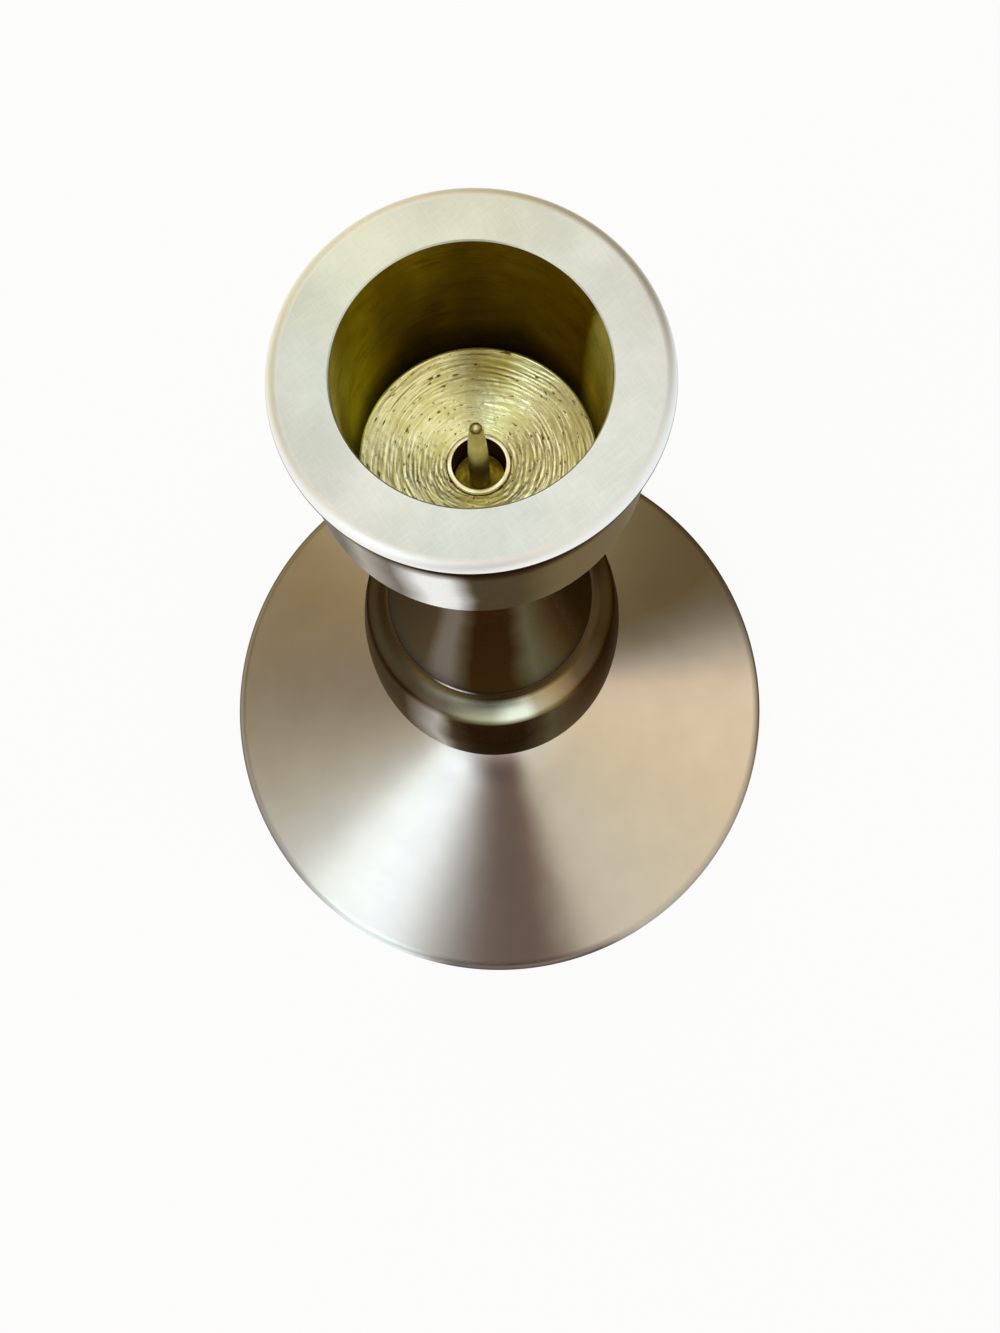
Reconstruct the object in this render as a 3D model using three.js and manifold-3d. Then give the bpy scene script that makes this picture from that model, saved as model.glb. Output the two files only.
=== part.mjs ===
// Taper candle holder, turned and stacked on one tie rod.
//
// A thick-walled candle cup, a trumpet-shaped upper neck, a hollow knop, a lower neck and a wide conical
// base stand on each other and are clamped by a rod that runs down the middle. The rod's upper end is a
// short tube that comes up through the cup's floor, with a pricket pin standing in it to grip the candle.
// Under the base the rod carries a cast-iron weight, two washers and a thin nut, and felt covers them all.
//
// Millimetres, +Z up. The origin is the centre of the felt's underside, where the holder rests on a table.

import * as THREE from 'three';
import Module from 'manifold-3d';
import { mergeVertices } from 'three/addons/utils/BufferGeometryUtils.js';

// Driving sizes: the stack, from the table up

const feltThickness = 1.5;
const lowerNeckLength = 32;
const knopLength = 47;
const upperNeckLength = 52;

// Driving sizes: the candle cup

const candleDiameter = 22; // the standard taper, which is 7/8 of an inch
const socketDepth = 21; // from the rim to the outer edge of the floor
const floorFall = 1.8; // how far the conical floor falls towards the middle
const floorThickness = 2.2; // in the middle, round the rod
const rimWidth = 5; // from the bore to the outside of the rim's bead
const beadRadius = 1.3;
const beadOverhang = 0.5; // how far the bead stands out over the wall below it
const cupWallDraft = 0.3; // how much narrower the wall is at the bottom of the cup than under the bead
const cupBowlRise = 7.8; // height of the rounded underside
const cupCollarRadius = 6.3;
const cupCollarHeight = 0.7;
const boreEdgeChamfer = 0.2;

// Driving sizes: the two necks and the knop

const upperNeckTopRadius = 5.9;
const upperNeckFootRadius = 14.1;
const knopBulge = 4.6; // how far the knop swells past the foot of the upper neck
const knopWidestLevel = 22; // height of its widest circle above its bottom
const knopShoulderLedge = 0.4; // the flat left round the foot of the upper neck
const knopShoulderRound = 2.4; // radius of the soft shoulder outside that flat
const knopWall = 2.6;
const knopTopWeb = 4;
const knopFootRadius = 9.8;
const lowerNeckWaistRadius = 7.2;
const lowerNeckFootRadius = 8.6;
const lowerNeckBeadRadius = 1.6;
const lowerNeckFlareShare = 0.7; // how far up the lower neck the middle of its flare lies
const jointChamfer = 0.4; // the shadow line where one turned piece stands on the next

// Driving sizes: the base

const baseRadius = 53.5;
const baseEdgeHeight = 1.9; // the straight part of the edge
const baseEdgeRadius = 1.5;
const baseSlope = 13.2; // degrees
const baseWall = 2.5;
const baseFootWidth = 6.5; // the flat ring under the edge
const coneTopRadius = 19; // where the cone starts to curve up into the collar
const collarRadius = 9.4; // the seat at the top of the base
const collarRise = 7.1; // from where the cone would meet the collar, up to the seat

// Driving sizes: the rod, the pin and what is under the base

const rodRadius = 3; // an M6 rod
const rodTubeWall = 0.45;
const rodTubeDepth = 4.5;
const rodProud = 0.4; // how far the tube stands above the floor of the cup
const pinFootRadius = 1;
const pinNoseRadius = 0.58;
const pinShankRadius = 0.8;
const pinShankLength = 5;
const pinHeight = 14.4; // from the bottom of the tube to the nose
const pinTaperShare = 0.75; // how far up the pin the middle of its taper lies
const spigotWall = 1.7; // the tubular spigots round the rod
const spigotLength = 4.5;
const weightGap = 0.6; // air between the weight and the conical underside
const nutRecessRadius = 9.2;
const nutRecessSpare = 0.5; // air between the end of the rod and the felt
const washerRadius = 8;
const washerThickness = 1;
const lockWasherRadius = 5.2;
const lockWasherThickness = 1.2;
const lockWasherSlit = 0.8;
const nutAcrossFlats = 10;
const nutThickness = 3.2; // a thin M6 nut
const rodPastNut = 0.6;
const feltInset = 3.5; // how far the felt stays back from the edge

// Clearances and the fineness of the facets

const turnedFit = 0.3; // radial room between a spigot and its socket, and round the rod
const pressFit = 0.1; // radial room left round the pressed pin
const facets = 44;
const fineFacets = 24;
const arcSteps = 3; // an arc is drawn with twice as many steps
const curveSteps = 6;

// The base's cone: heights above the base's foot, at any radius

const slope = Math.tan(THREE.MathUtils.degToRad(baseSlope));
const edgeTop = baseEdgeHeight + baseEdgeRadius;
const coneStart = baseRadius - baseEdgeRadius;
const coneHeightAt = (radius) => edgeTop + (coneStart - radius) * slope;
const hollowHeightAt = (radius) => coneHeightAt(radius) - baseWall;
const baseHeight = coneHeightAt(collarRadius) + collarRise;

// Levels that follow from the stack

const footLevel = feltThickness;
const baseTopLevel = footLevel + baseHeight;
const knopLevel = baseTopLevel + lowerNeckLength;
const upperNeckLevel = knopLevel + knopLength;
const cupLevel = upperNeckLevel + upperNeckLength;
const cupHeight = floorThickness + floorFall + socketDepth;
const rodHole = rodRadius + turnedFit;
const spigotRadius = rodHole + spigotWall;
const socketRadius = spigotRadius + turnedFit;
const socketRoom = spigotLength + turnedFit;
const cupSpigotRadius = rodHole + spigotWall / 2;
const knopSocketRadius = socketRadius + spigotWall;

const satinNickel = new THREE.MeshStandardMaterial({ color: 0xb9b0a2, metalness: 1, roughness: 0.34 });
const rawBrass = new THREE.MeshStandardMaterial({ color: 0xb5a642, metalness: 1, roughness: 0.4 });
const zincSteel = new THREE.MeshStandardMaterial({ color: 0xa8aaad, metalness: 1, roughness: 0.45 });
const castIron = new THREE.MeshStandardMaterial({ color: 0x3a3a3c, metalness: 0.7, roughness: 0.8 });
const blackFelt = new THREE.MeshStandardMaterial({ color: 0x1d1e1f, metalness: 0, roughness: 1 });

const wasm = await Module();
wasm.setup();

// Turning an outline round the Z axis. An outline is a THREE.Path of (radius, height) that runs up the
// outside and back down the inside.

function turn(outline, sides = facets) {
  const points = outline.getPoints(arcSteps);
  return new THREE.LatheGeometry(points, sides).rotateX(Math.PI / 2);
}

function piece(name, geometry, material, level) {
  const mesh = new THREE.Mesh(geometry, material);
  mesh.name = name;
  mesh.position.z = level;
  return mesh;
}

function curve(outline, control, end) {
  const points = [outline.currentPoint.clone(), new THREE.Vector2(...control), new THREE.Vector2(...end)];
  const bend = new THREE.QuadraticBezierCurve(...points);
  for (const point of bend.getPoints(curveSteps).slice(1)) outline.lineTo(point.x, point.y);
  return outline;
}

// Joining and cutting closed meshes

function solid(geometry) {
  const bare = geometry.clone();
  bare.deleteAttribute('normal');
  bare.deleteAttribute('uv');
  const merged = mergeVertices(bare, 1e-4);
  const mesh = new wasm.Mesh({
    numProp: 3,
    vertProperties: merged.attributes.position.array,
    triVerts: new Uint32Array(merged.index.array),
  });
  return new wasm.Manifold(mesh);
}

function geometryOf(manifold) {
  const mesh = manifold.getMesh();
  const geometry = new THREE.BufferGeometry();
  geometry.setAttribute('position', new THREE.BufferAttribute(mesh.vertProperties, 3));
  geometry.setIndex(new THREE.BufferAttribute(mesh.triVerts, 1));
  return geometry;
}

// Candle cup: bore, conical floor with a tapped hole, rounded underside, beaded rim

const boreRadius = candleDiameter / 2;
const rimRadius = boreRadius + rimWidth;

function candleCup() {
  const wallTop = rimRadius - beadOverhang;
  const wallFoot = wallTop - cupWallDraft;
  const beadCentre = rimRadius - beadRadius;
  const beadStart = -Math.acos((beadRadius - beadOverhang) / beadRadius);
  const bowlTop = cupCollarHeight + cupBowlRise;
  const outline = new THREE.Path();
  outline.moveTo(rodHole, -spigotLength);
  outline.lineTo(cupSpigotRadius, -spigotLength);
  outline.lineTo(cupSpigotRadius, 0);
  outline.lineTo(cupCollarRadius - jointChamfer, 0);
  outline.lineTo(cupCollarRadius, jointChamfer);
  outline.lineTo(cupCollarRadius, cupCollarHeight);
  outline.absellipse(cupCollarRadius, bowlTop, wallFoot - cupCollarRadius, cupBowlRise,
    -Math.PI / 2, 0, false);
  outline.absarc(beadCentre, cupHeight - beadRadius, beadRadius, beadStart, Math.PI / 2, false);
  outline.lineTo(boreRadius + boreEdgeChamfer, cupHeight);
  outline.lineTo(boreRadius, cupHeight - boreEdgeChamfer);
  outline.lineTo(boreRadius, floorThickness + floorFall);
  outline.lineTo(rodHole, floorThickness);
  outline.lineTo(rodHole, -spigotLength);
  return piece('candle_cup', turn(outline), satinNickel, cupLevel);
}

// Upper neck: a trumpet that opens downwards, with a socket for the cup and a spigot for the knop

function upperNeck() {
  const cupSocket = cupSpigotRadius + turnedFit;
  const outline = new THREE.Path();
  outline.moveTo(rodHole, -knopTopWeb);
  outline.lineTo(spigotRadius, -knopTopWeb);
  outline.lineTo(spigotRadius, 0);
  outline.lineTo(upperNeckFootRadius, 0);
  curve(outline, [upperNeckTopRadius, upperNeckLength / 2],
    [upperNeckTopRadius, upperNeckLength - jointChamfer]);
  outline.lineTo(upperNeckTopRadius - jointChamfer, upperNeckLength);
  outline.lineTo(cupSocket, upperNeckLength);
  outline.lineTo(cupSocket, upperNeckLength - socketRoom);
  outline.lineTo(rodHole, upperNeckLength - socketRoom);
  outline.lineTo(rodHole, -knopTopWeb);
  return piece('upper_neck', turn(outline), satinNickel, upperNeckLevel);
}

// Knop: a hollow bulb, rounded in below and shouldered above

function knop() {
  const shoulder = upperNeckFootRadius + knopShoulderLedge;
  const widest = upperNeckFootRadius + knopBulge;
  const shoulderLevel = knopLength - knopShoulderRound;
  const hollowTop = knopLength - knopTopWeb;
  const outline = new THREE.Path();
  outline.moveTo(knopSocketRadius, 0);
  outline.lineTo(knopFootRadius - jointChamfer, 0);
  outline.absellipse(knopFootRadius, knopWidestLevel, widest - knopFootRadius, knopWidestLevel,
    -Math.PI / 2, 0, false);
  curve(outline, [widest, (knopWidestLevel + knopLength) / 2],
    [shoulder + knopShoulderRound, shoulderLevel]);
  outline.absarc(shoulder, shoulderLevel, knopShoulderRound, 0, Math.PI / 2, false);
  outline.lineTo(socketRadius, knopLength);
  outline.lineTo(socketRadius, hollowTop);
  outline.lineTo(shoulder - knopWall, hollowTop);
  outline.lineTo(widest - knopWall, knopWidestLevel);
  outline.lineTo(knopSocketRadius, spigotLength);
  outline.lineTo(knopSocketRadius, 0);
  return piece('knop', turn(outline), satinNickel, knopLevel);
}

// Lower neck: a waisted column with a small bead, a spigot at each end

function lowerNeck() {
  const topSpigot = knopSocketRadius - turnedFit;
  const topSpigotEnd = lowerNeckLength + spigotLength - turnedFit;
  const beadTop = 2 * lowerNeckBeadRadius + jointChamfer;
  const outline = new THREE.Path();
  outline.moveTo(rodHole, -spigotLength);
  outline.lineTo(spigotRadius, -spigotLength);
  outline.lineTo(spigotRadius, 0);
  outline.lineTo(lowerNeckFootRadius - jointChamfer, 0);
  outline.lineTo(lowerNeckFootRadius - jointChamfer, jointChamfer);
  outline.absarc(lowerNeckFootRadius - lowerNeckBeadRadius / 2, jointChamfer + lowerNeckBeadRadius,
    lowerNeckBeadRadius, -Math.PI / 2, Math.PI / 2, false);
  outline.lineTo(lowerNeckWaistRadius, beadTop);
  curve(outline, [lowerNeckWaistRadius, lowerNeckLength * lowerNeckFlareShare],
    [knopFootRadius, lowerNeckLength - jointChamfer]);
  outline.lineTo(knopFootRadius - jointChamfer, lowerNeckLength);
  outline.lineTo(topSpigot, lowerNeckLength);
  outline.lineTo(topSpigot, topSpigotEnd);
  outline.lineTo(rodHole, topSpigotEnd);
  outline.lineTo(rodHole, -spigotLength);
  return piece('lower_neck', turn(outline), satinNickel, baseTopLevel);
}

// Base: a conical shell with a rounded edge, curving up in the middle into the collar that carries the stem

const hollowRadius = baseRadius - baseFootWidth;
const ceilingRadius = coneTopRadius - baseWall;
const ceilingHeight = hollowHeightAt(ceilingRadius);

function base() {
  const outline = new THREE.Path();
  outline.moveTo(rodHole, ceilingHeight);
  outline.lineTo(ceilingRadius, ceilingHeight);
  outline.lineTo(hollowRadius, hollowHeightAt(hollowRadius));
  outline.lineTo(hollowRadius, 0);
  outline.lineTo(baseRadius - jointChamfer, 0);
  outline.lineTo(baseRadius, jointChamfer);
  outline.absarc(coneStart, baseEdgeHeight, baseEdgeRadius, 0, Math.PI / 2 - Math.atan(slope), false);
  outline.lineTo(coneTopRadius, coneHeightAt(coneTopRadius));
  curve(outline, [collarRadius, coneHeightAt(collarRadius)], [collarRadius, baseHeight - jointChamfer]);
  outline.lineTo(collarRadius - jointChamfer, baseHeight);
  outline.lineTo(socketRadius, baseHeight);
  outline.lineTo(socketRadius, baseHeight - socketRoom);
  outline.lineTo(rodHole, baseHeight - socketRoom);
  outline.lineTo(rodHole, ceilingHeight);
  return piece('base', turn(outline), satinNickel, footLevel);
}

// Weight: a cast-iron disc that fills the hollow of the base, with a recess for the washers and the nut

const fastenerStack = washerThickness + lockWasherThickness + nutThickness;
const nutRecessDepth = nutRecessSpare + rodPastNut + fastenerStack;

function baseWeight() {
  const edge = hollowRadius - turnedFit;
  const outline = new THREE.Path();
  outline.moveTo(rodHole, nutRecessDepth);
  outline.lineTo(nutRecessRadius, nutRecessDepth);
  outline.lineTo(nutRecessRadius, 0);
  outline.lineTo(edge, 0);
  outline.lineTo(edge, hollowHeightAt(edge) - weightGap);
  outline.lineTo(ceilingRadius, ceilingHeight - weightGap);
  outline.lineTo(ceilingRadius - 2 * weightGap, ceilingHeight);
  outline.lineTo(rodHole, ceilingHeight);
  outline.lineTo(rodHole, nutRecessDepth);
  return piece('base_weight', turn(outline), castIron, footLevel);
}

// Tie rod: its upper end is bored out into a thin tube, with a blind hole below it for the pin

const rodBottom = footLevel + nutRecessSpare;
const rodTop = cupLevel + floorThickness + rodProud;

function tieRod() {
  const length = rodTop - rodBottom;
  const tube = rodRadius - rodTubeWall;
  const tubeFloor = length - rodTubeDepth;
  const pinHole = pinShankRadius + pressFit;
  const outline = new THREE.Path();
  outline.moveTo(0, 0);
  outline.lineTo(rodRadius - jointChamfer, 0);
  outline.lineTo(rodRadius, jointChamfer);
  outline.lineTo(rodRadius, length);
  outline.lineTo(tube, length);
  outline.lineTo(tube, tubeFloor);
  outline.lineTo(pinHole, tubeFloor);
  outline.lineTo(pinHole, tubeFloor - pinShankLength - pressFit);
  outline.lineTo(0, tubeFloor - pinShankLength - pressFit);
  return piece('tie_rod', turn(outline, fineFacets), rawBrass, rodBottom);
}

// Pricket pin: a shank pressed into the rod, a foot on the bottom of the tube, and a taper to a round nose

function pricketPin() {
  const noseLevel = pinHeight - pinNoseRadius;
  const outline = new THREE.Path();
  outline.moveTo(0, -pinShankLength);
  outline.lineTo(pinShankRadius, -pinShankLength);
  outline.lineTo(pinShankRadius, 0);
  outline.lineTo(pinFootRadius, 0);
  curve(outline, [pinFootRadius, noseLevel * pinTaperShare], [pinNoseRadius, noseLevel]);
  outline.absarc(0, noseLevel, pinNoseRadius, 0, Math.PI / 2, false);
  return piece('pricket_pin', turn(outline, fineFacets), rawBrass, rodTop - rodTubeDepth);
}

// Fasteners under the base, listed from the weight down

const washerLevel = footLevel + nutRecessDepth - washerThickness;
const lockWasherLevel = washerLevel - lockWasherThickness;
const nutLevel = lockWasherLevel - nutThickness;

function plainWasher() {
  const outline = new THREE.Path();
  outline.moveTo(rodHole, 0);
  outline.lineTo(washerRadius, 0);
  outline.lineTo(washerRadius, washerThickness);
  outline.lineTo(rodHole, washerThickness);
  outline.lineTo(rodHole, 0);
  return piece('plain_washer', turn(outline), zincSteel, washerLevel);
}

function lockWasher() {
  const half = lockWasherSlit / 2;
  const outerTurn = Math.asin(half / lockWasherRadius);
  const innerTurn = Math.asin(half / rodHole);
  const ring = new THREE.Shape();
  ring.absarc(0, 0, lockWasherRadius, outerTurn, 2 * Math.PI - outerTurn, false);
  ring.absarc(0, 0, rodHole, 2 * Math.PI - innerTurn, innerTurn, true);
  const geometry = new THREE.ExtrudeGeometry(ring, {
    depth: lockWasherThickness,
    bevelEnabled: false,
    curveSegments: fineFacets,
  });
  return piece('lock_washer', geometry, zincSteel, lockWasherLevel);
}

function hexNut() {
  const corner = nutAcrossFlats / Math.sqrt(3);
  const chamfer = corner - nutAcrossFlats / 2;
  const blank = new THREE.CylinderGeometry(corner, corner, nutThickness, 6).rotateX(Math.PI / 2);
  blank.translate(0, 0, nutThickness / 2);
  const dome = new THREE.Path();
  dome.moveTo(0, 0);
  dome.lineTo(corner - chamfer, 0);
  dome.lineTo(corner, chamfer / 2);
  dome.lineTo(corner, nutThickness - chamfer / 2);
  dome.lineTo(corner - chamfer, nutThickness);
  dome.lineTo(0, nutThickness);
  const bore = new THREE.CylinderGeometry(rodHole, rodHole, 3 * nutThickness, fineFacets);
  bore.rotateX(Math.PI / 2);
  const nut = solid(blank).intersect(solid(turn(dome, fineFacets))).subtract(solid(bore));
  return piece('hex_nut', geometryOf(nut), zincSteel, nutLevel);
}

// Felt pad: the face that the holder stands on

function feltPad() {
  const radius = baseRadius - feltInset;
  const outline = new THREE.Path();
  outline.moveTo(0, 0);
  outline.lineTo(radius, 0);
  outline.lineTo(radius, feltThickness);
  outline.lineTo(0, feltThickness);
  return piece('felt_pad', turn(outline), blackFelt, 0);
}

const stem = new THREE.Group();
stem.add(lowerNeck(), knop(), upperNeck());

const socket = new THREE.Group();
socket.add(candleCup(), pricketPin());

const foot = new THREE.Group();
foot.add(base(), baseWeight(), feltPad());

const clamp = new THREE.Group();
clamp.add(tieRod(), plainWasher(), lockWasher(), hexNut());

const candleHolder = new THREE.Group();
candleHolder.name = 'candle_holder';
candleHolder.add(foot, stem, socket, clamp);

export default candleHolder;
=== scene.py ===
# %% [markdown]
# # A taper candle holder, turned piece by piece
# The holder is a stack of turned metal pieces: a cup that grips the candle, a trumpet-shaped neck,
# a long knop, a waisted lower neck and a wide conical base. The measured model is loaded first and never
# changed. It says how wide and how high each piece is, and the pieces made here take their sizes from it.
# %% Load the measured model
import math
import bmesh
import bpy
from mathutils import Matrix, Vector, noise


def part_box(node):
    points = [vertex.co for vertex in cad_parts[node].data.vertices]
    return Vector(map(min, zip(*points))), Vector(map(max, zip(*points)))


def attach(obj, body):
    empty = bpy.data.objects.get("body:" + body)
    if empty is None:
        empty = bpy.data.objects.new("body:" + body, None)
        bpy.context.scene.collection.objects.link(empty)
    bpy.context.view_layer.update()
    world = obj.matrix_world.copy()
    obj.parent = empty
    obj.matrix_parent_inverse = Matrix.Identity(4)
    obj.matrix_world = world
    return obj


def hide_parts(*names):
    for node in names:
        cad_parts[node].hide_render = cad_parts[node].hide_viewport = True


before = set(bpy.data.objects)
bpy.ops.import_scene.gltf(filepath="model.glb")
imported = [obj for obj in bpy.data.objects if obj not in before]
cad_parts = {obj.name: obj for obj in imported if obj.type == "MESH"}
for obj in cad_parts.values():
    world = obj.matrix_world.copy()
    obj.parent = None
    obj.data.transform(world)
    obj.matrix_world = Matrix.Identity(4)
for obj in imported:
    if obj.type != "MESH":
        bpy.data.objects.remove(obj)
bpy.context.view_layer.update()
mm = 0.001


def low(node):
    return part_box(node)[0].z


def high(node):
    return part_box(node)[1].z


def radius(node):
    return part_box(node)[1].x


for node in sorted(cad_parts):
    print(f"{node}: radius {radius(node) / mm:.2f} mm, from {low(node) / mm:.2f} to {high(node) / mm:.2f} mm")

# %% [markdown]
# ## The camera
# The photo was taken by hand from just above the cup, so the rim looks almost as wide as the base.
# Such a view depends on the distance as much as on the angle, so the camera stands where the circles of the
# rim, socket and base say it stood. The photo was also cropped off-centre, which the lens shift repeats.
# %% Camera
camera_place = Vector((0, -39.1, 271.8)) * mm
camera_pitch = math.radians(75.66)
camera_turn = math.radians(2.27)
camera_roll = math.radians(-2.72)
picture_height_px = 1333
focal_length_px = 1308
centre_above_middle_px = 107
sensor_height_mm = 36


def camera_axes():
    level = Vector((math.sin(camera_turn), math.cos(camera_turn), 0))
    forward = level * math.cos(camera_pitch) - Vector((0, 0, math.sin(camera_pitch)))
    right = forward.cross(Vector((0, 0, 1))).normalized()
    up = right.cross(forward)
    rolled_right = right * math.cos(camera_roll) + up * math.sin(camera_roll)
    rolled_up = up * math.cos(camera_roll) - right * math.sin(camera_roll)
    return Matrix((rolled_right, rolled_up, -forward)).transposed()


camera_data = bpy.data.cameras.new("camera")
camera_data.sensor_width = sensor_height_mm
camera_data.lens = focal_length_px / picture_height_px * sensor_height_mm
camera_data.shift_y = -centre_above_middle_px / picture_height_px
camera_data.clip_start = 1 * mm
camera = bpy.data.objects.new("camera", camera_data)
camera.matrix_world = Matrix.Translation(camera_place) @ camera_axes().to_4x4()
bpy.context.scene.collection.objects.link(camera)
bpy.context.scene.camera = camera
bpy.context.scene.view_settings.view_transform = "Standard"
print(f"lens {camera_data.lens:.1f} mm, shift {camera_data.shift_y:.3f}")

# %% [markdown]
# ## A first helper for materials
# Every finish here is a small network of nodes that ends in one Principled shader. The helper makes the
# material and its shader, and a second one adds a node and sets its values in one call.
# %% Material helpers


class Finish:
    """A material with one Principled shader, and short ways to add nodes to it."""

    def __init__(self, name):
        self.material = bpy.data.materials.new(name)
        self.material.use_nodes = True
        self.tree = self.material.node_tree
        self.shader = self.tree.nodes["Principled BSDF"]

    def add(self, kind, **settings):
        node = self.tree.nodes.new("ShaderNode" + kind)
        for key, value in settings.items():
            setattr(node, key, value)
        return node

    def link(self, source, target):
        self.tree.links.new(source, target)

    def math(self, operation, first, second=0.0, third=0.0):
        node = self.add("Math", operation=operation)
        for socket, value in zip(node.inputs, (first, second, third)):
            if isinstance(value, (int, float)):
                socket.default_value = value
            else:
                self.link(value, socket)
        return node.outputs[0]

    def ramp(self, factor, *stops):
        """A colour for each position, blended in between."""
        node = self.add("ValToRGB")
        elements = node.color_ramp.elements
        while len(elements) < len(stops):
            elements.new(1.0)
        for element, (position, color) in zip(elements, stops):
            element.position = position
            element.color = (*color, 1.0)
        self.link(factor, node.inputs["Fac"])
        return node.outputs["Color"]

    def mix(self, factor, first, second, blend="MIX"):
        """Blends two colours. Each may be a plain colour or another node's output."""
        node = self.add("Mix", data_type="RGBA", blend_type=blend)
        for socket, value in zip((node.inputs[0], node.inputs[6], node.inputs[7]), (factor, first, second)):
            if isinstance(value, (int, float)):
                socket.default_value = value
            elif isinstance(value, tuple):
                socket.default_value = (*value, 1)
            else:
                self.link(value, socket)
        return node.outputs[2]

    def scale(self, value, lowest, highest, from_low=0.0, from_high=1.0):
        node = self.add("MapRange")
        self.link(value, node.inputs["Value"])
        for name, number in zip(("From Min", "From Max", "To Min", "To Max"), (from_low, from_high, lowest, highest)):
            node.inputs[name].default_value = number
        return node.outputs["Result"]


# %% [markdown]
# ## The studio
# The floor is plain and white. To the camera, and in the reflections of metal, part of its white is its own
# light, so that it stays white without stronger lamps, while the rest still takes the holder's shadow.
# %% Floor
floor_size = 4.0
floor_own_light = 0.94


def white_floor():
    finish = Finish("white_floor")
    tree, output = finish.tree, finish.tree.nodes["Material Output"]
    tree.nodes.remove(finish.shader)
    paper = finish.add("BsdfDiffuse")
    paper.inputs["Color"].default_value = (0.86, 0.86, 0.86, 1)
    glow = finish.add("Emission")
    glow.inputs["Color"].default_value = (1, 1, 1, 1)
    path = finish.add("LightPath")
    seen = finish.math("MAXIMUM", path.outputs["Is Camera Ray"], path.outputs["Is Glossy Ray"])
    seen = finish.math("MAXIMUM", seen, path.outputs["Is Transmission Ray"])
    mix = finish.add("MixShader")
    finish.link(finish.math("MULTIPLY", seen, floor_own_light), mix.inputs[0])
    finish.link(paper.outputs[0], mix.inputs[1])
    finish.link(glow.outputs[0], mix.inputs[2])
    finish.link(mix.outputs[0], output.inputs["Surface"])
    return finish.material


def floor():
    bm = bmesh.new()
    bmesh.ops.create_grid(bm, x_segments=1, y_segments=1, size=floor_size / 2)
    mesh = bpy.data.meshes.new("floor")
    bm.to_mesh(mesh)
    bm.free()
    mesh.materials.append(white_floor())
    piece = bpy.data.objects.new("floor", mesh)
    bpy.context.scene.collection.objects.link(piece)


floor()

# %% [markdown]
# ## Lamps and room
# Satin metal shows its surroundings as soft streaks. A lamp behind and above makes the flat rim pale, and one
# at the front left draws the brightest streak on the base. The rest of the light is the room's own. Its
# ceiling is silver, shaded, cream or brown from side to side, and the cone of the base repeats these tones.
# %% Lamps and surrounding light
lamp_aim = Vector((0, 0, 60)) * mm


def lamp(name, azimuth, elevation, distance, width, height, radiance, color=(1, 1, 1)):
    """A soft rectangular lamp. Azimuth is counted from +X towards +Y."""
    data = bpy.data.lights.new(name, "AREA")
    data.shape = "RECTANGLE"
    data.size, data.size_y = width, height
    data.energy = radiance * width * height * math.pi
    data.color = color
    turn, rise = math.radians(azimuth), math.radians(elevation)
    away = Vector((math.cos(turn) * math.cos(rise), math.sin(turn) * math.cos(rise), math.sin(rise)))
    piece = bpy.data.objects.new(name, data)
    piece.location = lamp_aim + away * distance
    piece.rotation_euler = away.to_track_quat("Z", "Y").to_euler()
    bpy.context.scene.collection.objects.link(piece)


lamp("lamp_overhead", 90, 64, 0.9, 0.54, 0.62, 1.33, (1.0, 0.98, 0.93))
lamp("lamp_front_left", -137, 58, 0.9, 0.30, 0.6, 1.3, (0.88, 1.0, 1.03))


def tones_round(nodes, links, share, *directions):
    """Tones that blend from one direction to the next. Directions are azimuths in degrees."""
    node = nodes.new("ShaderNodeValToRGB")
    elements = node.color_ramp.elements
    while len(elements) < len(directions):
        elements.new(1.0)
    for element, (angle, color) in zip(elements, directions):
        element.position = (angle + 180) / 360
        element.color = (*color, 1)
    links.new(share.outputs[0], node.inputs["Fac"])
    return node.outputs["Color"]


def pale_room():
    """A room with walls low down and a ceiling above, whose tones change round the compass."""
    world = bpy.data.worlds.new("pale_room")
    world.use_nodes = True
    nodes, links = world.node_tree.nodes, world.node_tree.links
    place = nodes.new("ShaderNodeTexCoord")
    split = nodes.new("ShaderNodeSeparateXYZ")
    links.new(place.outputs["Generated"], split.inputs[0])
    azimuth = nodes.new("ShaderNodeMath")
    azimuth.operation = "ARCTAN2"
    links.new(split.outputs["Y"], azimuth.inputs[0])
    links.new(split.outputs["X"], azimuth.inputs[1])
    share = nodes.new("ShaderNodeMapRange")
    share.inputs["From Min"].default_value = -math.pi
    share.inputs["From Max"].default_value = math.pi
    links.new(azimuth.outputs[0], share.inputs["Value"])
    pale, dim, shaded, warm = (0.95, 0.95, 0.94), (0.66, 0.63, 0.60), (0.26, 0.18, 0.04), (0.85, 0.80, 0.50)
    walls = tones_round(
        nodes, links, share,
        (-180, pale), (-130, pale), (-117, dim), (-94, dim), (-84, pale), (10, pale), (32, shaded), (60, shaded),
        (110, warm), (160, warm), (180, pale),
    )
    silver, cream, band = (0.80, 0.85, 0.84), (0.97, 0.88, 0.68), (1.0, 0.96, 0.86)
    tan, brown = (0.47, 0.40, 0.24), (0.14, 0.06, 0.0)
    shade, deep = (0.03, 0.012, 0.01), (0.02, 0.005, 0.0)
    ceiling = tones_round(
        nodes, links, share,
        (-180, tan), (-168, (0.66, 0.63, 0.50)), (-155, silver), (-123, silver), (-109, shade), (-79, shade),
        (-67, cream), (4, cream), (13, band), (26, deep), (80, deep), (125, brown), (160, brown), (180, tan),
    )
    height = nodes.new("ShaderNodeMapRange")
    height.interpolation_type = "SMOOTHSTEP"
    height.inputs["From Min"].default_value = 0.42
    height.inputs["From Max"].default_value = 0.68
    links.new(split.outputs["Z"], height.inputs["Value"])
    mix = nodes.new("ShaderNodeMix")
    mix.data_type = "RGBA"
    links.new(height.outputs[0], mix.inputs[0])
    links.new(walls, mix.inputs[6])
    links.new(ceiling, mix.inputs[7])
    links.new(mix.outputs[2], nodes["Background"].inputs["Color"])
    bpy.context.scene.world = world


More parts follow.
